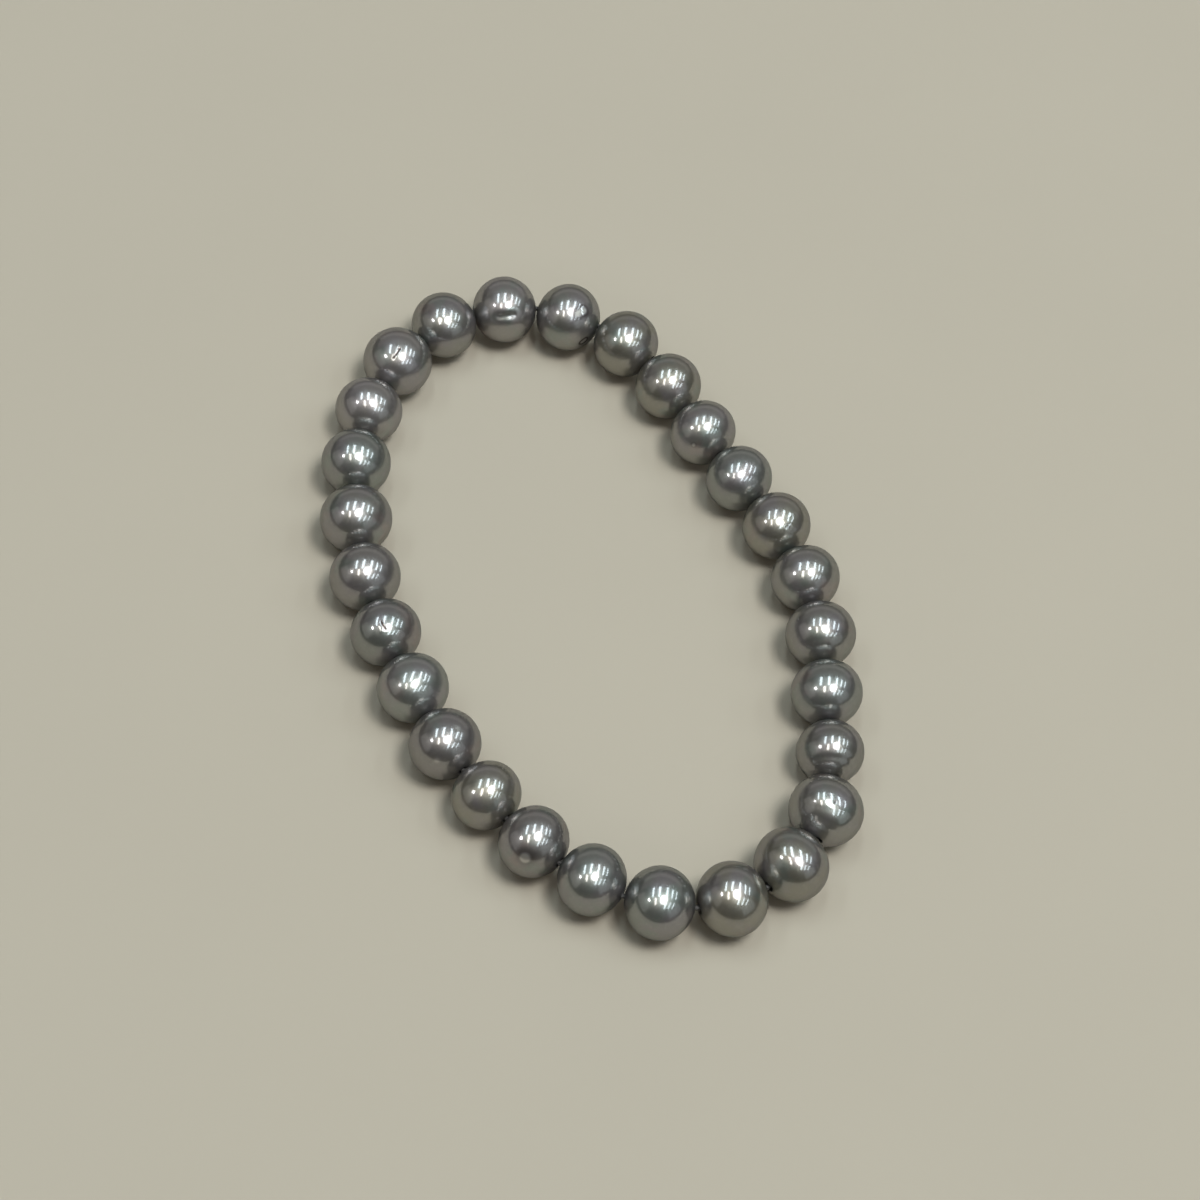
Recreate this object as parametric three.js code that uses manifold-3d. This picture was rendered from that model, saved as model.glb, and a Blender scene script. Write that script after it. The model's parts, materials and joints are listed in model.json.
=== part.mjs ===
// A pearl bracelet lying flat: drilled pearls on one closed elastic thread.
// Millimetres, +Z up. The bracelet rests on z = 0, with its longer way along Y, and its
// origin is under the middle of its outline.

import * as THREE from 'three';
import { mergeVertices } from 'three/addons/utils/BufferGeometryUtils.js';
import Module from 'manifold-3d';

const wasm = await Module();
wasm.setup();

// Driving dimensions
const PEARL_DIAMETER = 7.0; // usual width of a pearl, measured across the thread
const PEARL_GAP = 0.1; // room between two neighbours, where the real ones just touch
const BORE_DIAMETER = 1.1; // drill hole through each pearl
const THREAD_DIAMETER = 0.5; // elastic thread
const KNOT_PLAY = 0.1; // between the knot and the wall of the bore that hides it
const KNOT_LENGTH = 1.6;
const KNOT_PEARL = 21; // the knot is tucked into this pearl, counted from 1

// Facets
const PEARL_SIDES = 16; // round the thread
const PEARL_BANDS = 11; // along the thread: an odd number puts one level band at the middle
const THREAD_SIDES = 8;
const KNOT_BANDS = 6;

// How the string lies, seen from above. Only the form of the loop counts: it is drawn larger
// or smaller until the pearls close it.
const ROUTE = [
  [2.0, 35.8],
  [12.2, 29.6],
  [18.2, 11.6],
  [20.8, 1.8],
  [21.2, -5.4],
  [19.0, -15.8],
  [12.2, -31.4],
  [-0.2, -35.6],
  [-11.0, -29.0],
  [-18.2, -15.2],
  [-20.4, -4.0],
  [-21.0, 9.2],
  [-16.2, 25.4],
  [-7.2, 34.4],
];

// Each pearl's width as a share of PEARL_DIAMETER, its length along the thread as a share of
// its own width, and its overtone. They run clockwise, and the first lies on the route's start.
const PEARLS = [
  { width: 0.99, length: 0.95, overtone: 'rose' },
  { width: 1.0, length: 0.95, overtone: 'silver' },
  { width: 0.99, length: 0.96, overtone: 'bronze' },
  { width: 0.99, length: 0.96, overtone: 'bronze' },
  { width: 0.98, length: 0.93, overtone: 'silver' },
  { width: 0.98, length: 0.95, overtone: 'green' },
  { width: 1.0, length: 0.95, overtone: 'bronze' },
  { width: 0.99, length: 0.94, overtone: 'silver' },
  { width: 1.0, length: 0.95, overtone: 'silver' },
  { width: 1.01, length: 0.93, overtone: 'green' },
  { width: 0.95, length: 0.95, overtone: 'silver' },
  { width: 1.04, length: 0.94, overtone: 'silver' },
  { width: 1.05, length: 0.93, overtone: 'bronze' },
  { width: 1.03, length: 0.94, overtone: 'bronze' },
  { width: 1.01, length: 0.95, overtone: 'green' },
  { width: 0.99, length: 0.94, overtone: 'green' },
  { width: 1.0, length: 0.94, overtone: 'rose' },
  { width: 0.98, length: 0.93, overtone: 'bronze' },
  { width: 1.01, length: 0.96, overtone: 'rose' },
  { width: 1.0, length: 0.97, overtone: 'green' },
  { width: 1.0, length: 0.93, overtone: 'green' },
  { width: 1.01, length: 0.94, overtone: 'rose' },
  { width: 1.03, length: 0.95, overtone: 'silver' },
  { width: 1.0, length: 0.96, overtone: 'green' },
  { width: 0.98, length: 0.94, overtone: 'rose' },
  { width: 1.02, length: 0.97, overtone: 'rose' },
  { width: 0.98, length: 0.97, overtone: 'silver' },
];

// Finishes

const OVERTONES = {
  silver: '#8f8c86',
  green: '#8a8f86',
  bronze: '#918a7c',
  rose: '#948b8b',
};

function nacre(overtone) {
  return new THREE.MeshStandardMaterial({
    color: OVERTONES[overtone],
    roughness: 0.2,
    metalness: 0.3,
  });
}

function elastic() {
  return new THREE.MeshStandardMaterial({ color: '#595755', roughness: 0.5, metalness: 0 });
}

// Where the pearls lie on the string

// Halves the span from low to high again and again, keeping the half in which isLow changes
// from true to false.
function bisect(low, high, isLow) {
  const HALVINGS = 50;
  for (let i = 0; i < HALVINGS; i += 1) {
    const middle = (low + high) / 2;
    if (isLow(middle)) low = middle;
    else high = middle;
  }
  return (low + high) / 2;
}

// The half length of the room that one pearl takes up on the string.
function halfStep({ width, length }) {
  return (width * length * PEARL_DIAMETER + PEARL_GAP) / 2;
}

// The route at some size, as one smooth closed curve.
function drawRoute(size) {
  const points = ROUTE.map(([x, y]) => new THREE.Vector3(x * size, y * size, 0));
  return new THREE.CatmullRomCurve3(points, true);
}

// Lays the pearls along the route, each against the one before. Returns their centres, and
// the share of the route at which the first pearl would come again.
function walk(size) {
  const curve = drawRoute(size);
  const farthest = 3 / PEARLS.length; // no pearl is three pearls long
  const centres = [];
  let share = 0;
  PEARLS.forEach((pearl, i) => {
    const centre = curve.getPoint(share);
    const next = PEARLS[(i + 1) % PEARLS.length];
    const step = halfStep(pearl) + halfStep(next);
    const isNear = (place) => curve.getPoint(place % 1).distanceTo(centre) < step;
    centres.push(centre);
    share = bisect(share, share + farthest, isNear);
  });
  return { centres, end: share };
}

// The loop closes at the size where the walk ends just where it began. That is a little more
// than the size at which the route is as long as the string, because the steps are straight.
function closeLoop() {
  const stringLength = PEARLS.reduce((sum, pearl) => sum + 2 * halfStep(pearl), 0);
  const usual = stringLength / drawRoute(1).getLength();
  const size = bisect(usual * 0.8, usual * 1.2, (trial) => walk(trial).end > 1);
  return walk(size).centres;
}

// Every pearl's sizes, its centre, at the height where it stands on z = 0, and the level
// direction of its drill hole, midway between the ways to its two neighbours.
function placePearls() {
  const centres = closeLoop();
  const count = PEARLS.length;
  return PEARLS.map(({ width, length, overtone }, i) => {
    const across = width * PEARL_DIAMETER;
    const along = length * across;
    const wayIn = centres[i].clone().sub(centres[(i + count - 1) % count]).normalize();
    const wayOut = centres[(i + 1) % count].clone().sub(centres[i]).normalize();
    const direction = wayIn.add(wayOut).normalize();
    const centre = centres[i].clone().setZ(across / 2);
    return { across, along, overtone, centre, direction };
  });
}

// The turn that carries Y to a level direction and leaves Z upright.
function turnTo(direction) {
  const up = new THREE.Vector3(0, 0, 1);
  return new THREE.Matrix4().makeBasis(direction.clone().cross(up), direction, up);
}

// Pearls

// The outline of a pearl as rings from end to end, a radius and a place along Y each: an
// ellipse from drill mouth to drill mouth, widened until its middle band has the full width.
function pearlRings({ across, along }) {
  const halfBand = (mouth) => (Math.PI / 2 - mouth) / PEARL_BANDS;
  const fullRadius = (mouth) => across / 2 / Math.cos(halfBand(mouth));
  const isInBore = (angle) => fullRadius(angle) * Math.sin(angle) < BORE_DIAMETER / 2;
  const mouth = bisect(0, Math.PI / 2, isInBore);
  const rings = [];
  for (let i = 0; i <= PEARL_BANDS; i += 1) {
    const angle = Math.PI - mouth - 2 * i * halfBand(mouth);
    const radius = fullRadius(mouth) * Math.sin(angle);
    rings.push(new THREE.Vector2(radius, (along / 2) * Math.cos(angle)));
  }
  return rings;
}

// A geometry without its normals and with its shared corners merged, as one closed skin.
function closeUp(geometry) {
  geometry.deleteAttribute('normal');
  geometry.deleteAttribute('uv');
  return mergeVertices(geometry, 1e-5);
}

// A drilled pearl about its own centre. Its sides are flats at the true width, so that it
// stands on one of them, and its corners lie a little outside.
function makePearl(pearl) {
  const toCorner = 1 / Math.cos(Math.PI / PEARL_SIDES);
  const outline = pearlRings(pearl).map((ring) => new THREE.Vector2(ring.x * toCorner, ring.y));
  outline.push(outline[0].clone()); // back through the bore
  return closeUp(new THREE.LatheGeometry(outline, PEARL_SIDES, Math.PI / PEARL_SIDES));
}

// Thread

// A path of straight stretches. Each takes an equal share of the path, so that a sweep with
// one step for each stretch turns exactly at the corners.
class CorneredPath extends THREE.Curve {
  constructor(corners) {
    super();
    this.corners = corners;
    this.last = corners.length - 1;
  }

  getPointAt(share, target = new THREE.Vector3()) {
    return target.copy(this.corners[Math.round(share * this.last)]);
  }

  // Midway between the stretch that comes in and the one that goes out.
  getTangentAt(share, target = new THREE.Vector3()) {
    const i = Math.round(share * this.last);
    const here = this.corners[i];
    const wayIn = here.clone().sub(this.corners[Math.max(i - 1, 0)]).normalize();
    const wayOut = this.corners[Math.min(i + 1, this.last)].clone().sub(here).normalize();
    return target.addVectors(wayIn, wayOut).normalize();
  }
}

// The corners of the thread: straight through each bore, and from mouth to mouth at the mean
// height of the two pearls. It starts and ends inside the knot, just clear of itself.
function threadCorners(pearls) {
  const start = KNOT_PEARL - 1;
  const knotPearl = pearls[start];
  const count = pearls.length;
  const inKnot = KNOT_LENGTH / 8;
  const along = (pearl, distance) =>
    pearl.centre.clone().addScaledVector(pearl.direction, distance);
  const corners = [along(knotPearl, inKnot)];
  for (let i = 0; i < count; i += 1) {
    const pearl = pearls[(start + i) % count];
    const next = pearls[(start + i + 1) % count];
    const height = (pearl.centre.z + next.centre.z) / 2;
    corners.push(along(pearl, pearlRings(pearl)[PEARL_BANDS].y).setZ(height));
    corners.push(along(next, pearlRings(next)[0].y).setZ(height));
  }
  corners.push(along(knotPearl, -inKnot));
  return corners;
}

// A closed skin as a solid that can be joined to another.
function toSolid(geometry) {
  return new wasm.Manifold(
    new wasm.Mesh({
      numProp: 3,
      vertProperties: Float32Array.from(geometry.attributes.position.array),
      triVerts: Uint32Array.from(geometry.index.array),
    }),
  );
}

function toGeometry(solid) {
  const { vertProperties, triVerts } = solid.getMesh();
  const geometry = new THREE.BufferGeometry();
  geometry.setAttribute('position', new THREE.BufferAttribute(vertProperties, 3));
  geometry.setIndex(new THREE.BufferAttribute(triVerts, 1));
  return geometry;
}

// The two ends of the thread, joined by a plain rounded knot about the middle of its bore.
function makeKnot(pearl) {
  const radius = BORE_DIAMETER / 2 - KNOT_PLAY;
  const outline = [];
  for (let i = 0; i <= KNOT_BANDS; i += 1) {
    const angle = Math.PI * (1 - i / KNOT_BANDS);
    const onAxis = i === 0 || i === KNOT_BANDS;
    const out = onAxis ? 0 : radius * Math.sin(angle);
    outline.push(new THREE.Vector2(out, (KNOT_LENGTH / 2) * Math.cos(angle)));
  }
  const knot = closeUp(new THREE.LatheGeometry(outline, THREAD_SIDES));
  knot.applyMatrix4(turnTo(pearl.direction).setPosition(pearl.centre));
  return knot;
}

function makeThread(pearls) {
  const radius = THREAD_DIAMETER / 2;
  const section = [];
  for (let i = 0; i < THREAD_SIDES; i += 1) {
    const angle = (2 * Math.PI * i) / THREAD_SIDES;
    section.push(new THREE.Vector2(radius * Math.cos(angle), radius * Math.sin(angle)));
  }
  const path = new CorneredPath(threadCorners(pearls));
  const sweep = { steps: path.last, extrudePath: path };
  const strand = closeUp(new THREE.ExtrudeGeometry(new THREE.Shape(section), sweep));
  const knot = makeKnot(pearls[KNOT_PEARL - 1]);
  return toGeometry(toSolid(strand).add(toSolid(knot)));
}

// The bracelet

function makeBracelet() {
  const pearls = placePearls();
  const string = new THREE.Group();
  pearls.forEach((pearl, i) => {
    const mesh = new THREE.Mesh(makePearl(pearl), nacre(pearl.overtone));
    mesh.name = `pearl_${String(i + 1).padStart(2, '0')}`;
    mesh.position.copy(pearl.centre);
    mesh.quaternion.setFromRotationMatrix(turnTo(pearl.direction));
    string.add(mesh);
  });
  const thread = new THREE.Mesh(makeThread(pearls), elastic());
  thread.name = 'thread';
  string.add(thread);

  // The origin goes under the middle of the outline.
  const outline = new THREE.Box3().setFromObject(string, true);
  const middle = outline.getCenter(new THREE.Vector3());
  string.position.set(-middle.x, -middle.y, 0);
  const bracelet = new THREE.Group();
  bracelet.add(string);
  return bracelet;
}

export default makeBracelet();
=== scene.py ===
# %% [markdown]
# # A pearl bracelet, from plain solids to nacre
#
# The bracelet is already there as solids at their real size: 27 faceted pearls, each with a drill
# hole, and one thread through them all. This lesson gives every pearl its fine round surface, its
# small growth marks and its nacre, then lights the string as it lies on a pale table.
#
# We open the solids first. They are the frame: nothing here moves them, and every new piece takes
# its size and place from them.

# %% Open the frame
import json
import math

import bpy
import numpy as np
from mathutils import Matrix, Vector


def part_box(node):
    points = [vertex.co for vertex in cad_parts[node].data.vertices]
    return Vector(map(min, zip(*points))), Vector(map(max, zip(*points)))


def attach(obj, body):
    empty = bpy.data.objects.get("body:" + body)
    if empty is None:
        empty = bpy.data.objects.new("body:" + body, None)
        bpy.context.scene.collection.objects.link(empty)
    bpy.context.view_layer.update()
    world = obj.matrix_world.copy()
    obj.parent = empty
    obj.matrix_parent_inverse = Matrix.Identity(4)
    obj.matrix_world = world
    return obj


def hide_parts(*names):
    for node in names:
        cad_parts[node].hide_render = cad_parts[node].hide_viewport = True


MM = 0.001  # metres in a millimetre

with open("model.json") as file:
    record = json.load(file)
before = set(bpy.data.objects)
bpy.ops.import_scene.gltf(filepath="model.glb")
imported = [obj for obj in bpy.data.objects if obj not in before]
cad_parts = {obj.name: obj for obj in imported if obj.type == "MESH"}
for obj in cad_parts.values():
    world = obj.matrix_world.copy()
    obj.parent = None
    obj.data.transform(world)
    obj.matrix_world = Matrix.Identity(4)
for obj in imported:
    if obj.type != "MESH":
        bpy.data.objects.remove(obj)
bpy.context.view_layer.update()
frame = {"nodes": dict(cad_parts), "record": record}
scene = bpy.context.scene

# %% [markdown]
# ## The view
#
# A photographer stands over the table, a little to one side, and holds the lens far enough away
# that near and far pearls look almost the same size. So the lens is a long one, and the camera
# looks down steeply. It is also rolled a little, as a hand-held one is.
#
# Three directions describe it: the way it looks, and what its picture calls right and up. We keep
# them, because later they say where a mark sits on a pearl.

# %% The camera
LENS = 96.0  # focal length in millimetres, on a sensor 36 mm wide
SENSOR = 36.0
HEADING = math.radians(26.7)  # clockwise from +Y, seen from above
TILT = math.radians(57.2)  # down from level
ROLL = math.radians(10.1)
DISTANCE = 320.0 * MM
AIM = Vector((1.5, 1.1, 0.0)) * MM

level_ahead = Vector((math.sin(HEADING), math.cos(HEADING), 0.0))
level_right = Vector((math.cos(HEADING), -math.sin(HEADING), 0.0))
view_ahead = level_ahead * math.cos(TILT) - Vector((0, 0, math.sin(TILT)))
upright = level_right.cross(view_ahead)
view_right = level_right * math.cos(ROLL) + upright * math.sin(ROLL)
view_up = upright * math.cos(ROLL) - level_right * math.sin(ROLL)

camera = bpy.data.objects.new("camera", bpy.data.cameras.new("camera"))
camera.data.lens = LENS
camera.data.sensor_width = SENSOR
camera.data.sensor_fit = "HORIZONTAL"
camera.data.clip_start = 10 * MM
turn = Matrix((view_right, view_up, -view_ahead)).transposed().to_4x4()
camera.matrix_world = Matrix.Translation(AIM - view_ahead * DISTANCE) @ turn
scene.collection.objects.link(camera)
scene.camera = camera
print("camera at", [round(c / MM) for c in camera.matrix_world.translation], "mm")

# %% [markdown]
# ## Sockets as numbers
#
# A material is a tree of nodes, and a long tree is hard to read as node calls. So one small class
# wraps an output socket and gives it Python's operators. An expression such as
# `(mask - 0.5) * 0.3` then adds its Math nodes by itself. Another small class stands for the tree
# and adds every other kind of node through one method.

# %% Shader maths
class Wire:
    """One output socket, which can be added to, subtracted from, multiplied and clipped."""

    def __init__(self, bench, socket):
        self.bench = bench
        self.socket = socket

    def _sum(self, operation, other):
        return self.bench.add("ShaderNodeMath", {"operation": operation}, {0: self, 1: other})

    def __add__(self, other):
        return self._sum("ADD", other)

    def __sub__(self, other):
        return self._sum("SUBTRACT", other)

    def __mul__(self, other):
        return self._sum("MULTIPLY", other)

    def clip(self, low, high):
        return self._sum("MAXIMUM", low)._sum("MINIMUM", high)


class Bench:
    """A material's node tree, emptied but for its shader."""

    def __init__(self, name):
        self.material = bpy.data.materials.new(name)
        self.material.use_nodes = True
        self.tree = self.material.node_tree
        self.shader = self.tree.nodes["Principled BSDF"]

    def _connect(self, socket, value):
        if isinstance(value, Wire):
            self.tree.links.new(value.socket, socket)
        else:
            socket.default_value = value

    def add(self, kind, settings=None, inputs=None, output=0):
        """Adds a node: its type, its settings, then the values or wires of its sockets."""
        node = self.tree.nodes.new(kind)
        for key, value in (settings or {}).items():
            setattr(node, key, value)
        for key, value in (inputs or {}).items():
            self._connect(node.inputs[key], value)
        return Wire(self, node.outputs[output])

    def mix(self, share, first, second):
        """Blends two colours: all first where share is 0, all second where it is 1."""
        return self.add(
            "ShaderNodeMix",
            {"data_type": "RGBA"},
            {"Factor": share, 6: first, 7: second},
            output=2,
        )

    def place(self):
        """Where a point lies on its piece, in metres."""
        return self.add("ShaderNodeTexCoord", output=3)

    def noise(self, place, scale, detail=2.0):
        """Soft random values about 0.5 that change over 1 / scale metres."""
        inputs = {"Vector": place, "Scale": scale, "Detail": detail}
        return self.add("ShaderNodeTexNoise", {}, inputs)

    def finish(self, **sockets):
        """Feeds the shader, by socket names with _ for a space, and returns the material."""
        for name, value in sockets.items():
            self._connect(self.shader.inputs[name.replace("_", " ")], value)
        return self.material


# %% [markdown]
# ## The table
#
# The real bracelet lies on a pale cloth. A plain pale floor takes its place, warm white and dull,
# and it does more than fill the background: each pearl mirrors it as the bright crescent along
# its lower edge. It has to reach far out, so that this crescent ends at a true horizon.

# %% The floor
FLOOR_REACH = 4.0  # metres from the middle to each side
FLOOR_COLOUR = (0.49, 0.441, 0.354, 1)
FLOOR_DARKEST = 0.96  # share of its colour that the floor keeps where it is darkest
FLOOR_CLOUDS = 30.0  # soft clouds in a metre

floor_mesh = bpy.data.meshes.new("floor")
corners = [(x * FLOOR_REACH, y * FLOOR_REACH, 0) for x, y in ((-1, -1), (1, -1), (1, 1), (-1, 1))]
floor_mesh.from_pydata(corners, [], [(0, 1, 2, 3)])
floor = bpy.data.objects.new("floor", floor_mesh)
scene.collection.objects.link(floor)

bench = Bench("pale_table")
place = bench.place()
cloudiness = bench.noise(place, FLOOR_CLOUDS)
dark_table = tuple(c * FLOOR_DARKEST for c in FLOOR_COLOUR[:3]) + (1,)
floor.data.materials.append(
    bench.finish(
        Base_Color=bench.mix(cloudiness, dark_table, FLOOR_COLOUR),
        Roughness=0.85,
        Specular_IOR_Level=0.2,
    )
)

# %% [markdown]
# ## The lamps
#
# Polished pearls are small convex mirrors, so most of their look is the room above them. Here that
# room is a ceiling with two rows of long lamps, a short warm lamp, a large round one nearly
# overhead and a spot at the left. Each becomes a crisp streak or dot on every pearl.
#
# A mirror shows how bright a lamp is, while the table shows how much light it sends. So the two
# jobs are shared out. The near lamps are seen only as reflections, and two more lamps light only
# the table: a compact one throws the short shadows, and a wide one fills them from the near side.
#
# A lamp's place is easiest to give as the picture shows it: so many ceiling heights to the right of
# the bracelet and ahead of it, seen along the camera's heading.

# %% The ceiling lamps
CEILING = 2.1  # metres from the table up to the lamps
CEILING_GAP = 0.05  # metres from the lamps up to the pale ceiling


def hang_lamp(name, right, ahead, width, length, brightness, tint=(1, 1, 1), form="RECTANGLE"):
    """Hangs a lamp that faces the table. Places and sizes are shares of the ceiling's height, and
    brightness is what a mirror would show. A lamp gives pi times its brightness times its area."""
    light = bpy.data.lights.new(name, "AREA")
    light.shape = form
    light.size = width * CEILING
    light.size_y = length * CEILING
    area = light.size * light.size_y * (math.pi / 4 if form == "ELLIPSE" else 1)
    light.energy = math.pi * brightness * area
    light.color = tint
    lamp = bpy.data.objects.new(name, light)
    lamp.location = (level_right * right + level_ahead * ahead) * CEILING + Vector((0, 0, CEILING))
    lamp.rotation_euler = (0, 0, -HEADING)
    scene.collection.objects.link(lamp)
    return lamp


COOL = (0.86, 1.0, 1.06)
WARM = (1.0, 0.965, 0.89)
LAMP_WIDTH = 0.115
FAR_LENGTH = 0.60
FAR_BRIGHTNESS = 7.3
NEAR_LENGTH = 0.50
NEAR_BRIGHTNESS = 6.2
FAR_ROW = [(-0.55, 0.06), (-0.14, 0.12), (0.30, 0.17), (0.68, 0.19), (1.12, 0.24)]
NEAR_ROW = [(0.37, -0.71), (0.71, -0.64), (1.12, -0.59)]
for number, (right, ahead) in enumerate(FAR_ROW, 1):
    hang_lamp(f"far_lamp_{number}", right, ahead, LAMP_WIDTH, FAR_LENGTH, FAR_BRIGHTNESS, COOL)
glints = [
    hang_lamp("warm_lamp", -0.34, -0.50, 0.12, 0.46, 9.0, WARM),
    hang_lamp("round_lamp", 0.18, -0.32, 0.48, 0.56, 9.5, form="ELLIPSE"),
    hang_lamp("left_spot", -0.92, -0.46, 0.25, 0.25, 17.0, form="ELLIPSE"),
]
for number, (right, ahead) in enumerate(NEAR_ROW, 1):
    name = f"near_lamp_{number}"
    glints.append(hang_lamp(name, right, ahead, LAMP_WIDTH, NEAR_LENGTH, NEAR_BRIGHTNESS, COOL))
for lamp in glints:
    lamp.visible_diffuse = False
floor_lamps = [
    hang_lamp("shadow_lamp", 0.28, -0.12, 0.36, 0.36, 18.4, form="ELLIPSE"),
    hang_lamp("near_fill", 0.0, -1.3, 1.6, 0.8, 0.8),
]
for lamp in floor_lamps:
    lamp.visible_glossy = False

ceiling = hang_lamp("pale_ceiling", 0.0, 2.2, 6.0, 3.2, 0.16, (1, 0.97, 0.92))
ceiling.location.z += CEILING_GAP


def stand_panel(name, right, ahead, height, width, tall, brightness, tint=(1, 1, 1)):
    """Stands a dim panel beside the table, facing the bracelet, for a lit wall or a window."""
    panel = hang_lamp(name, right, ahead, width, tall, brightness, tint)
    panel.location.z = height * CEILING
    panel.rotation_euler = (-panel.location).to_track_quat("-Z", "Y").to_euler()


stand_panel("pale_wall", 0.0, 1.9, 0.62, 4.4, 0.8, 0.20, (1, 0.98, 0.93))
stand_panel("left_wall", -1.7, -0.60, 0.75, 1.8, 0.9, 0.30, (1, 0.98, 0.92))
stand_panel("right_window", 1.6, -1.0, 0.78, 1.6, 0.9, 0.32, (0.92, 1.0, 1.02))

world = bpy.data.worlds.new("room")
world.use_nodes = True
world.node_tree.nodes["Background"].inputs["Color"].default_value = (0.032, 0.028, 0.023, 1)
scene.world = world
scene.view_settings.view_transform = "Standard"

# %% [markdown]
# ## Measuring the pearls
#
# Every pearl is a turned form: an ellipse spun about the thread, with a hole down its axis. So four
# facts describe it, its centre, the direction of its hole, its width and its length, and all of
# them can be read from its solid. The hole points midway between the ways to the two neighbours.

# %% Read the solids
PEARLS = sorted(name for name in frame["nodes"] if name.startswith("pearl_"))


def corners_of(node):
    """The corners of a solid, as rows of x, y, z."""
    mesh = frame["nodes"][node].data
    points = np.empty(3 * len(mesh.vertices))
    mesh.vertices.foreach_get("co", points)
    return points.reshape(-1, 3)


def unit(vectors):
    """Vectors scaled to length 1, along the last axis."""
    return vectors / np.linalg.norm(vectors, axis=-1, keepdims=True)


def measure_pearls():
    """One record for each pearl. Its half width is its height halved, because it stands on the
    floor. Its half length follows from its mouth, where reach^2 / half_length^2 plus
    bore^2 / half_width^2 is 1."""
    centres = {name: np.array(sum(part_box(name), Vector())) / 2 for name in PEARLS}
    found = []
    for i, name in enumerate(PEARLS):
        before, after = centres[PEARLS[i - 1]], centres[PEARLS[(i + 1) % len(PEARLS)]]
        centre = centres[name]
        way = unit(centre - before) + unit(after - centre)
        way[2] = 0
        thread_way = unit(way)
        offset = corners_of(name) - centre
        along = offset @ thread_way
        bore = np.linalg.norm(offset - along[:, None] * thread_way, axis=1).min()
        half_width = (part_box(name)[1].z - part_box(name)[0].z) / 2
        reach = along.max()
        half_length = reach / math.sqrt(1 - (bore / half_width) ** 2)
        found.append({
            "name": name, "centre": centre, "thread_way": thread_way, "bore": bore,
            "half_width": half_width, "half_length": half_length, "reach": reach,
        })
    return found


pearls = measure_pearls()
for pearl in pearls[:3]:
    print(pearl["name"], "width %.2f mm, length %.2f mm" % (
        2 * pearl["half_width"] / MM, 2 * pearl["half_length"] / MM))

# %% [markdown]
# ## The fine surface of a pearl
#
# A drilled pearl has no poles: its skin runs from mouth to mouth outside, rolls over a small worn
# lip, and comes back through the hole. So it is one grid that closes on itself both ways, rings
# along the thread and columns round it, and no seam or pinched point spoils the reflections.
#
# Nacre grows in layers, so no pearl is a true ball. We add three kinds of unevenness to the grid:
# a broad one, which bends the reflections, a fine ripple, and the single marks listed further down.

# %% The outline that is spun about the thread
OUTER_RINGS = 100
LIP_RINGS = 5
BORE_RINGS = 2
COLUMNS = 160
CROWDING = 0.4  # how much the columns crowd towards the top of the pearl, where it is looked at
LIP = 0.05 * MM  # radius of the worn edge of the drill hole


def outline(pearl):
    """The closed outline of a drilled pearl: its distance from the thread and its place along it.
    Outside it is the ellipse (half_length cos a, half_width sin a). A quarter circle of radius LIP
    leads into the hole at each mouth, and straight lines join the mouths inside."""
    start = math.asin((pearl["bore"] + LIP) / pearl["half_width"])
    a = np.linspace(math.pi - start, start, OUTER_RINGS)
    out = pearl["half_width"] * np.sin(a)
    along = pearl["half_length"] * np.cos(a)
    edge = along[-1]
    roll = np.linspace(0, math.pi / 2, LIP_RINGS + 1)[1:]
    lip_out = pearl["bore"] + LIP * (1 - np.sin(roll))
    lip_along = edge - LIP * (1 - np.cos(roll))
    wall = np.linspace(lip_along[-1], -lip_along[-1], BORE_RINGS + 2)[1:-1]
    return (
        np.concatenate([out, lip_out, np.full(BORE_RINGS, pearl["bore"]), lip_out[::-1]]),
        np.concatenate([along, lip_along, wall, -lip_along[::-1]]),
    )


# %% Unevenness
BROAD = 0.022 * MM
BROAD_WAVES = 14
BROAD_FINENESS = 3.0
RIPPLE = 0.0022 * MM
RIPPLE_WAVES = 40
RIPPLE_FINENESS = 22.0
RIPPLE_SEED = 100  # added to a pearl's number, so that the ripple has random draws of its own
FADE = 0.5 * MM  # how far out from the lip the unevenness comes in


def waves(ways, count, fineness, seed):
    """A smooth random field over directions: the mean of plane waves cos(k . way + phase), whose
    wave vectors k point anywhere and are about fineness long. It lies between -1 and 1."""
    rng = np.random.default_rng(seed)
    k = unit(rng.normal(size=(count, 3))) * fineness * rng.uniform(0.7, 1.3, (count, 1))
    phase = rng.uniform(0, 2 * math.pi, count)
    return np.cos(ways @ k.T + phase).mean(axis=-1) * math.sqrt(2)
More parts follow.
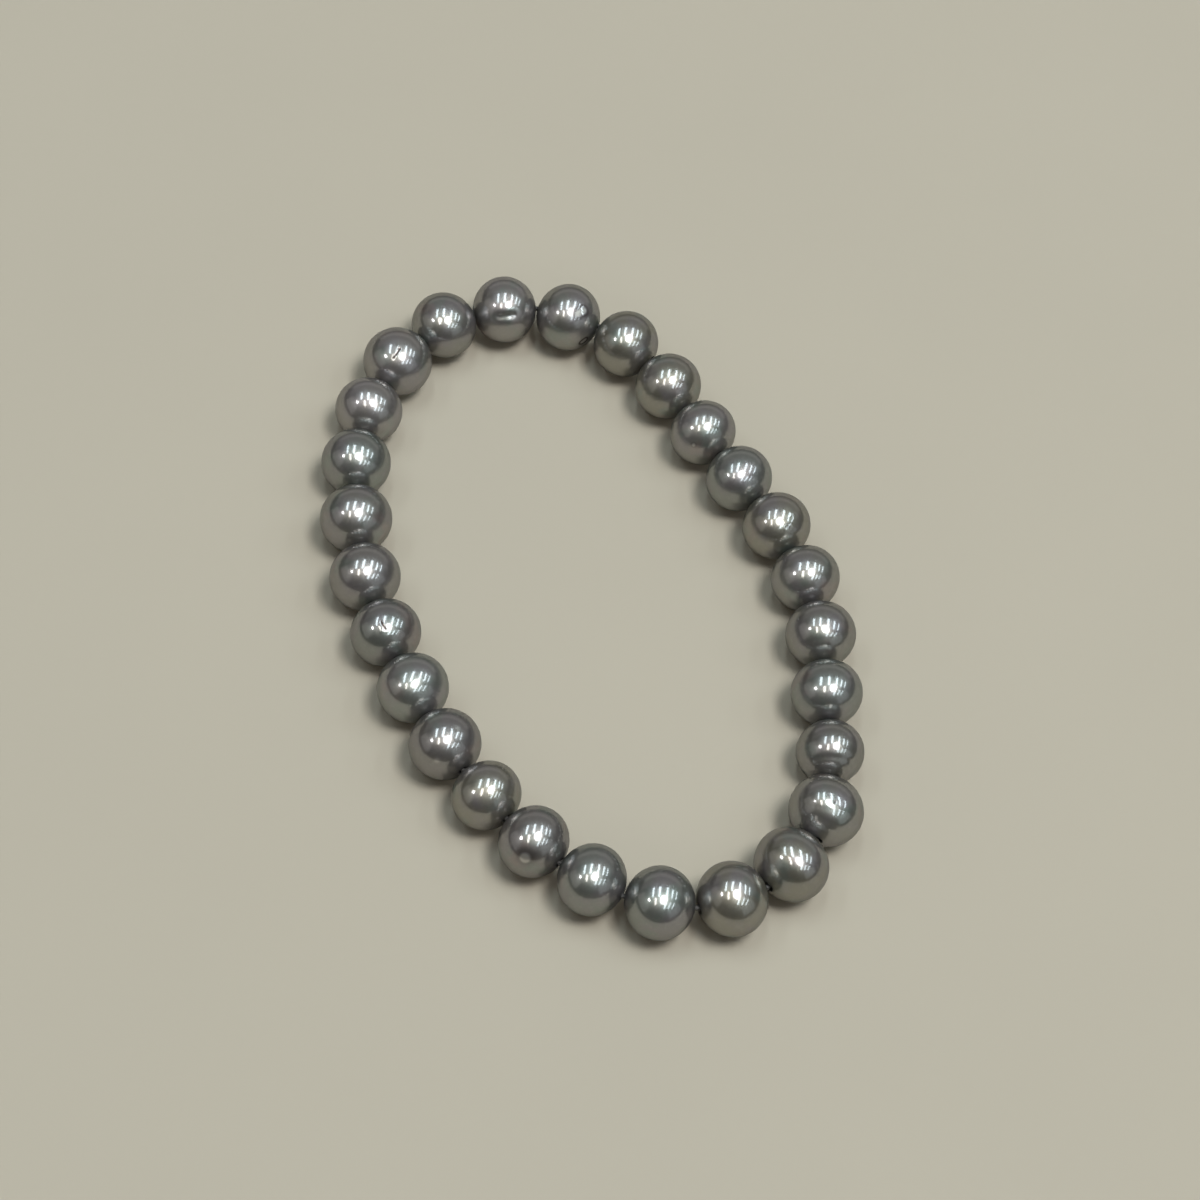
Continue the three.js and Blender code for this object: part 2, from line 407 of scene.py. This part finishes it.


# %% [markdown]
# ## The marks
#
# Freshwater pearls keep small scars of their growth, and they tell the pearls of a string apart:
# a slit, a dimple with a raised rim, a low bump, a ring round the thread. Each is listed with the
# pearl it is on, and where the camera sees it, as shares of the pearl's radius to the right and up
# from its middle. Sizes are in millimetres. A tone above 0 paints a mark paler, and below 0
# darker. On the scratches, on the chips at the mouths of pearls 2 and 10 and on the brown halo of
# pearl 17, that is the nacre's own colour. On the other dimples and bumps the pale fill is partly
# paler nacre and partly painted highlight, for the light they catch. The dark fill inside the
# dimples of pearl 7 and in the pit of pearl 12 is painted shade in a hollow. The edge, the tone of
# a mark's rim, is painted shade too: a dark ring for the shade of its steep sides. A sharp mark
# has steep sides instead of soft ones.

# %% The list of marks
MARKS = [
    {"pearl": 1, "right": 0.06, "up": -0.19, "size": 0.40, "depth": 0.160, "stretch": 0.74,
     "slant": 7},
    {"pearl": 2, "right": 0.38, "up": 0.16, "size": 0.36, "depth": 0.022, "nacre_tone_and_painted_light": 0.9, "edge": -0.7,
     "stretch": 0.36, "slant": 28, "sharp": 4},
    {"pearl": 2, "right": 0.47, "up": -0.72, "size": 0.22, "depth": 0.010, "nacre_tone_and_painted_light": 1.3,
     "edge": -1.2, "stretch": 0.18, "slant": 45, "sharp": 4},
    {"pearl": 5, "right": -0.28, "up": -0.37, "size": 0.17, "depth": -0.025, "nacre_tone_and_painted_light": 1.2,
     "edge": -0.4},
    {"pearl": 7, "right": 0.36, "up": -0.04, "size": 0.32, "depth": 0.0, "rim": 0.012,
     "nacre_tone_and_painted_light": -0.5},
    {"pearl": 7, "right": 0.54, "up": 0.31, "size": 0.26, "depth": 0.0, "rim": 0.008, "nacre_tone_and_painted_light": -0.3},
    {"pearl": 10, "right": 0.10, "up": -0.45, "size": 0.22, "depth": -0.020, "nacre_tone_and_painted_light": 0.3},
    {"pearl": 10, "right": -0.30, "up": 0.78, "size": 0.13, "depth": -0.015, "nacre_tone_and_painted_light": 0.7},
    {"pearl": 10, "right": 0.22, "up": 0.80, "size": 0.13, "depth": -0.015, "nacre_tone_and_painted_light": 0.7},
    {"pearl": 12, "right": 0.24, "up": 0.23, "size": 0.16, "depth": 0.030, "nacre_tone_and_painted_light": -1.2},
    {"pearl": 17, "right": -0.23, "up": -0.44, "size": 0.54, "depth": -0.020, "nacre_tone_and_painted_light": 1.4,
     "sharp": 6},
    {"pearl": 17, "right": -0.19, "up": -0.36, "size": 1.05, "depth": -0.010, "nacre_tone_and_painted_light": -0.7,
     "sharp": 3},
    {"pearl": 18, "right": 0.33, "up": -0.66, "size": 0.15, "depth": 0.020, "nacre_tone_and_painted_light": 0.8},
    {"pearl": 19, "right": 0.32, "up": 0.42, "size": 0.28, "depth": 0.035, "nacre_tone_and_painted_light": 0.4},
    {"pearl": 19, "right": -0.22, "up": -0.44, "size": 0.26, "depth": -0.030, "nacre_tone_and_painted_light": 0.7},
    {"pearl": 21, "right": -0.07, "up": 0.20, "size": 0.10, "depth": 0.030, "stretch": 0.42,
     "slant": -60, "nacre_tone_and_painted_light": -1.6},
    {"pearl": 21, "right": -0.12, "up": 0.04, "size": 0.20, "depth": -0.025},
    {"pearl": 26, "right": -0.03, "up": 0.23, "size": 0.09, "depth": 0.030, "stretch": 0.55,
     "slant": 56, "nacre_tone_and_painted_light": -1.6},
    {"pearl": 26, "right": 0.06, "up": 0.37, "size": 0.09, "depth": 0.020, "stretch": 0.10,
     "slant": -20, "nacre_tone_and_painted_light": -1.4},
    {"pearl": 26, "right": 0.02, "up": 0.45, "size": 0.20, "depth": -0.030},
    {"pearl": 27, "right": -0.10, "up": 0.15, "size": 0.20, "depth": 0.015},
]

# %% [markdown]
# Some pearls are also a little lopsided where they face the camera, which carries their
# reflections to one side or slants them. A lean is given as the shift to the right, the shift up
# and the slant, again in shares of the radius.

# %% The list of leans
LEANS = {
    1: (0.04, -0.03, 0.0), 4: (0.05, 0.02, 0.0), 5: (0.05, 0.01, 0.0), 6: (-0.03, -0.04, 0.10),
    7: (-0.02, -0.03, 0.0), 8: (0.08, 0.01, 0.0), 9: (0.0, 0.0, -0.12), 10: (0.07, -0.02, 0.0),
    11: (0.06, 0.06, 0.0), 12: (-0.05, 0.06, -0.32), 13: (0.03, -0.02, -0.30), 14: (-0.01, 0.05, 0.0),
    17: (0.05, 0.05, 0.0), 18: (0.09, 0.04, 0.0), 20: (0.0, 0.0, 0.20), 21: (0.01, -0.03, 0.0),
    24: (0.0, 0.0, -0.12), 25: (0.05, 0.03, -0.15), 26: (0.05, -0.02, 0.0), 27: (0.03, -0.01, 0.0),
}
LEAN_MIDDLE = (0.10, 0.20)  # the middle of the lamps' reflections, right and up
LEAN_REACH = 0.40  # how far a lean spreads, as a share of the radius

# %% [markdown]
# A grown ring is another kind of mark: a shallow groove right round the thread, as if the pearl
# had been turned on a lathe. Its place is a share of the half length, towards the next pearl.

# %% The list of rings
RINGS = [
    {"pearl": 9, "place": 0.62, "size": 0.20, "depth": 0.010},
    {"pearl": 11, "place": 0.62, "size": 0.26, "depth": 0.045},
    {"pearl": 12, "place": 0.46, "size": 0.26, "depth": 0.014},
    {"pearl": 12, "place": 0.72, "size": 0.20, "depth": 0.020},
    {"pearl": 12, "place": -0.62, "size": 0.26, "depth": 0.012},
]


RIM_PLACE = 1.5  # where a mark's rim lies, in sizes of the mark from its middle
RIM_WIDTH = 0.5


def press_marks(pearl, number, ways):
    """How deep the marks of a pearl go in at each direction, and their tone. The tone is partly the
    nacre's own colour and partly painted light: painted highlight on pale fills, painted shade on
    dark fills and rims. A mark is a bell, exp(-d^sharp), of the distance d from its middle over its
    size, and its rim is a second bell about the circle d = RIM_PLACE. A stretched mark measures d
    from a short line, not a point."""
    depth = np.zeros(ways.shape[:-1])
    nacre_tone_and_painted_light = np.zeros(ways.shape[:-1])
    radius = pearl["half_width"]
    toward = (camera.matrix_world.translation - Vector(pearl["centre"])).normalized()
    right = view_up.cross(toward).normalized()
    up = toward.cross(right)
    for mark in MARKS:
        if mark["pearl"] != number:
            continue
        height = math.sqrt(1 - mark["right"] ** 2 - mark["up"] ** 2)
        middle = right * mark["right"] + up * mark["up"] + toward * height
        slant = math.radians(mark.get("slant", 0))
        line = right * math.cos(slant) + up * math.sin(slant)
        line = (line - middle * line.dot(middle)).normalized()
        across = middle.cross(line)
        facing = ways @ np.array(middle)
        x = radius * (ways @ np.array(line))
        y = radius * (ways @ np.array(across))
        x = np.sign(x) * np.maximum(np.abs(x) - mark.get("stretch", 0) * MM, 0)
        d = np.hypot(x, y) / (mark["size"] * MM)
        bell = np.where(facing > 0, np.exp(-(d ** mark.get("sharp", 2))), 0)
        rim = np.where(facing > 0, np.exp(-(((d - RIM_PLACE) / RIM_WIDTH) ** 2)), 0)
        depth += (mark["depth"] * bell - mark.get("rim", 0) * rim) * MM
        # The edge paints a dark ring of shade about the mark, for the shade of its steep sides.
        nacre_tone_and_painted_light += mark.get("nacre_tone_and_painted_light", 0) * bell + mark.get("edge", 0) * rim
    if number in LEANS:
        x = ways @ np.array(right) - LEAN_MIDDLE[0]
        y = ways @ np.array(up) - LEAN_MIDDLE[1]
        bell = np.exp(-(x * x + y * y) / (2 * LEAN_REACH**2))
        bell = np.where(ways @ np.array(toward) > 0, bell, 0)
        shift_right, shift_up, slanting = LEANS[number]
        depth -= radius * (shift_right * x + shift_up * y + slanting * x * y) * bell
    place = ways @ pearl["thread_way"]
    for ring in RINGS:
        if ring["pearl"] == number:
            d = (place - ring["place"]) * pearl["half_length"] / (ring["size"] * MM)
            depth += ring["depth"] * MM * np.exp(-d * d)
    return depth, nacre_tone_and_painted_light


# %% [markdown]
# Now the grid itself. The outline is spun about the thread, then each point moves in towards the
# centre by the unevenness and the marks there. The lip and the hole stay as they are.

# %% Spin and shape a pearl
def pearl_points(pearl, number):
    """Grid points of a pearl, rings by columns, and the tone of its marks at each. That tone is
    partly nacre colour, partly painted highlight and painted shade. A ring point is
    centre + along * thread_way + out * (side cos t + up sin t)."""
    out, along = outline(pearl)
    t = np.linspace(0, 2 * math.pi, COLUMNS, endpoint=False)
    t = t + CROWDING * np.cos(t)
    up = np.array((0.0, 0.0, 1.0))
    side = np.cross(pearl["thread_way"], up)
    spoke = np.cos(t)[:, None] * side + np.sin(t)[:, None] * up
    offset = along[:, None, None] * pearl["thread_way"] + out[:, None, None] * spoke
    ways = unit(offset)
    depth, nacre_tone_and_painted_light = press_marks(pearl, number, ways)
    broad = waves(ways, BROAD_WAVES, BROAD_FINENESS, number)
    ripple = waves(ways, RIPPLE_WAVES, RIPPLE_FINENESS, number + RIPPLE_SEED)
    depth += BROAD * (broad.max() - broad) / 2 + RIPPLE * (1 - ripple)
    clear = np.clip((out - pearl["bore"] - LIP) / FADE, 0, 1)[:, None]
    points = pearl["centre"] + offset - ways * (depth * clear)[..., None]
    return points, nacre_tone_and_painted_light * clear


def closed_grid(name, points, attributes=None):
    """A mesh from a grid of points that closes on itself both ways, one four-sided face for each
    cell, with smooth shading and any values that its points carry. Its faces look outwards where
    the columns run anticlockwise, seen along the way of the rings."""
    rows, columns = points.shape[:2]
    index = np.arange(rows * columns).reshape(rows, columns)
    below = np.roll(index, -1, axis=0)
    beside = np.roll(index, -1, axis=1)
    opposite = np.roll(below, -1, axis=1)
    faces = np.stack([index, below, opposite, beside], axis=-1).reshape(-1, 4)
    mesh = bpy.data.meshes.new(name)
    mesh.vertices.add(rows * columns)
    mesh.vertices.foreach_set("co", points.astype(np.float32).ravel())
    mesh.loops.add(faces.size)
    mesh.loops.foreach_set("vertex_index", faces.astype(np.int32).ravel())
    mesh.polygons.add(len(faces))
    mesh.polygons.foreach_set("loop_start", np.arange(0, faces.size, 4, dtype=np.int32))
    mesh.update(calc_edges=True)
    mesh.shade_smooth()
    for key, values in (attributes or {}).items():
        layer = mesh.attributes.new(key, "FLOAT", "POINT")
        layer.data.foreach_set("value", values.astype(np.float32).ravel())
    piece = bpy.data.objects.new(name, mesh)
    scene.collection.objects.link(piece)
    return piece


# %% [markdown]
# ## Nacre
#
# Grey nacre is a stack of clear plates over a dark ground. Light that the plates send back is
# mirror-like and stronger than glass would give, which a partly metallic shader shows well. Some
# of it spreads on its way through the stack, so under the crisp mirror lies a soft broad glow. Two
# layers give both: a base of middling roughness and a smooth coat.
#
# The overtone is the faint colour of the glow. It isn't even: it drifts over a pearl in soft
# clouds, from the body's grey to the overtone.

# %% The nacre material
OVERTONES = {
    "pearl_silver": (0.232, 0.226, 0.204),
    "pearl_green": (0.217, 0.227, 0.208),
    "pearl_bronze": (0.238, 0.226, 0.186),
    "pearl_rose": (0.235, 0.222, 0.210),
}
LILAC = (0.235, 0.217, 0.224, 1)
SEA_GREEN = (0.203, 0.231, 0.205, 1)
BLUSH = (0.268, 0.219, 0.205, 1)
# The dark colour is the nacre's own on scratches and the halo, and painted shade in pits and at mark
# rims. The pale one is paler nacre in grain specks and chips, and painted highlight on dimples and
# bumps.
DARK_NACRE_AND_SHADE = (0.055, 0.042, 0.038, 1)
PALE_NACRE_AND_HIGHLIGHT = (0.52, 0.50, 0.46, 1)
GRAIN = 2600.0  # specks in a metre

# Each tint with its clouds in a metre, the noise they begin at, how fast they grow and their most.
TINTS = [
    (LILAC, 330.0, 0.45, 4, 0.8),
    (SEA_GREEN, 410.0, 0.55, 5, 0.8),
    (BLUSH, 290.0, 0.60, 6, 0.7),
]


def nacre(slot):
    bench = Bench(slot)
    place = bench.place()
    clouds = [bench.noise(place, scale) for _, scale, _, _, _ in TINTS]
    grain = bench.noise(place, GRAIN, detail=3.0)
    mark = bench.add("ShaderNodeAttribute", {"attribute_name": "mark"}, output=2)
    shade = bench.add("ShaderNodeAttribute", {"attribute_name": "shade"}, output=2)
    facing = bench.add("ShaderNodeLayerWeight", {}, {"Blend": 0.5}, output=1)
    colour = OVERTONES[slot] + (1,)
    for cloud, (tint, _, start, growth, most) in zip(clouds, TINTS):
        colour = bench.mix(((cloud - start) * growth).clip(0, most), colour, tint)
    colour = bench.add("ShaderNodeVectorMath", {"operation": "SCALE"}, {0: colour, "Scale": shade})
    colour = bench.mix(((grain - 0.5) * 0.3).clip(0, 0.1), colour, PALE_NACRE_AND_HIGHLIGHT)
    # Below 0 the mark paints dark: nacre colour on scratches, painted shade in hollows and at rims.
    # Above 0 it paints pale: paler nacre, and partly painted highlight on dimples and bumps.
    colour = bench.mix((mark * -1.0).clip(0, 1), colour, DARK_NACRE_AND_SHADE)
    colour = bench.mix(mark.clip(0, 1), colour, PALE_NACRE_AND_HIGHLIGHT)
    relief = {"Strength": 1.0, "Distance": 0.0002 * MM, "Height": grain}
    bump = bench.add("ShaderNodeBump", {}, relief)
    return bench.finish(
        Base_Color=colour,
        Metallic=0.80,
        Roughness=(clouds[0] - 0.5) * 0.1 + 0.36,
        Specular_Tint=(0.15, 0.15, 0.15, 1),
        Coat_Weight=(mark * 0.65 + 1.0 - facing * facing * 0.7).clip(0.1, 1),
        Coat_Roughness=0.10,
        Coat_IOR=2.05,
        Normal=bump,
    )


nacres = {slot: nacre(slot) for slot in OVERTONES}

# %% [markdown]
# The record of the solids already names each pearl's finish, so the same list dresses the fine
# pearls: every new piece rides on the one body, stands for its solid and takes its slot.

# %% Make the pearls
SHADES = {
    1: 1.12, 2: 1.05, 5: 1.05, 9: 0.95, 11: 0.90, 13: 0.95, 17: 0.96, 19: 0.92, 20: 1.08, 21: 0.92,
    25: 1.15, 26: 1.10,
}
slots = {row["node"]: row["material_slot"] for row in frame["record"]["subparts"]}
triangles = 0
for number, pearl in enumerate(pearls, 1):
    points, nacre_tone_and_painted_light = pearl_points(pearl, number)
    shade = np.full(nacre_tone_and_painted_light.shape, SHADES.get(number, 1.0))
    # The mark attribute carries the marks' tones: nacre colour, painted highlight and painted shade.
    piece = closed_grid(f"{pearl['name']}_nacre", points, {"mark": nacre_tone_and_painted_light, "shade": shade})
    piece.data.materials.append(nacres[slots[pearl["name"]]])
    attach(piece, "root")
    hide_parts(pearl["name"])
    triangles += 2 * len(piece.data.polygons)
print("pearls:", len(pearls), "with", triangles, "triangles")


def volume(points):
    """What a closed grid holds: the sum over its triangles of a . (b x c) / 6, with the corners
    seen from the grid's middle. It is positive when the faces look outwards."""
    a = points - points.mean(axis=(0, 1))
    b, c = np.roll(a, -1, axis=0), np.roll(a, (-1, -1), axis=(0, 1))
    d = np.roll(a, -1, axis=1)
    return (a * (np.cross(b, c) + np.cross(c, d))).sum() / 6


held = volume(pearl_points(pearls[0], 1)[0])
ball = 4 / 3 * math.pi * pearls[0]["half_width"] ** 2 * pearls[0]["half_length"]
print("pearl_01 holds %.0f cubic mm, its undrilled form %.0f" % (held / MM**3, ball / MM**3))

# %% [markdown]
# ## The thread
#
# One strand of elastic runs through every pearl and is knotted once, inside a pearl. Its dark grey
# is partly the elastic's smoky colour and partly painted shade: it is kept as dark as the shade
# between the pearls, where it shows in the gaps. It runs straight down each hole and bends only in
# the small gaps, so its way is a closed line with one corner for each gap, midway between the two
# mouths, and every corner is eased by a curve.

# %% The way of the thread
EASE = 0.45 * MM  # how far before and after a corner the thread starts to bend
BEND_STEPS = 6
STRAIGHT_STEPS = 10


def thread_route():
    """Points along the closed thread. A straight stretch runs from EASE past one corner to EASE
    before the next, and a bend is the curve (1 - s)^2 a + 2 s (1 - s) corner + s^2 b."""
    mouths_out = np.array([p["centre"] + p["reach"] * p["thread_way"] for p in pearls])
    mouths_in = np.array([p["centre"] - p["reach"] * p["thread_way"] for p in pearls])
    corners = (mouths_out + np.roll(mouths_in, -1, axis=0)) / 2
    route = []
    for i, corner in enumerate(corners):
        following = corners[(i + 1) % len(corners)]
        before = corner - unit(corner - corners[i - 1]) * EASE
        after = corner + unit(following - corner) * EASE
        s = np.linspace(0, 1, BEND_STEPS)[:, None]
        route.append((1 - s) ** 2 * before + 2 * s * (1 - s) * corner + s**2 * after)
        far = following - unit(following - corner) * EASE
        s = np.linspace(0, 1, STRAIGHT_STEPS + 2)[1:-1, None]
        route.append(after + s * (far - after))
    return np.concatenate(route)


# %% Make the thread
THREAD_COLUMNS = 16
THREAD_RADIUS = 0.25 * MM
KNOT_PEARL = 21
KNOT_RADIUS = 0.42 * MM
KNOT_HALF = 0.75 * MM  # half the knot's length
KNOT_REACH = 3 * MM  # only thread this near to the middle of the knot's pearl can swell
LOBES = 3
LOBE_DEPTH = 0.1  # as a share of the swelling


def thread_points():
    """A round tube about the route: centre + radius * (side cos t + up sin t). The radius swells
    to the knot's inside its pearl, with lobes that wind about it, as a knot's turns do."""
    route = thread_route()
    host = pearls[KNOT_PEARL - 1]
    way = unit(np.roll(route, -1, axis=0) - np.roll(route, 1, axis=0))
    side = unit(np.cross(way, (0.0, 0.0, 1.0)))
    up = np.cross(side, way)
    t = np.linspace(0, 2 * math.pi, THREAD_COLUMNS, endpoint=False)
    along = (route - host["centre"]) @ host["thread_way"]
    near = np.linalg.norm(route - host["centre"], axis=1) < KNOT_REACH
    swell = np.where(near, np.clip(1 - (along / KNOT_HALF) ** 2, 0, 1), 0)[:, None]
    wave = np.cos(LOBES * t + along[:, None] / KNOT_HALF * math.pi)
    lobes = 1 - LOBE_DEPTH + LOBE_DEPTH * wave
    radius = THREAD_RADIUS + (KNOT_RADIUS - THREAD_RADIUS) * np.sqrt(swell) * lobes
    spoke = np.cos(t)[:, None] * side[:, None] + np.sin(t)[:, None] * up[:, None]
    return route[:, None] + radius[..., None] * spoke


# Dark grey: partly smoky elastic, partly painted shade, as dark as the shade between the pearls.
bench = Bench("smoky_elastic_and_shade")
place = bench.place()
strands = bench.noise(place, 3500.0, detail=4.0)
thread = closed_grid("elastic_thread", thread_points())
thread.data.materials.append(
    bench.finish(
        Base_Color=bench.mix(strands, (0.07, 0.067, 0.062, 1), (0.12, 0.115, 0.11, 1)),
        Roughness=0.6,
        Specular_IOR_Level=0.2,
        Normal=bench.add("ShaderNodeBump", {}, {"Distance": 0.01 * MM, "Height": strands}),
    )
)
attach(thread, "root")
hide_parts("thread")
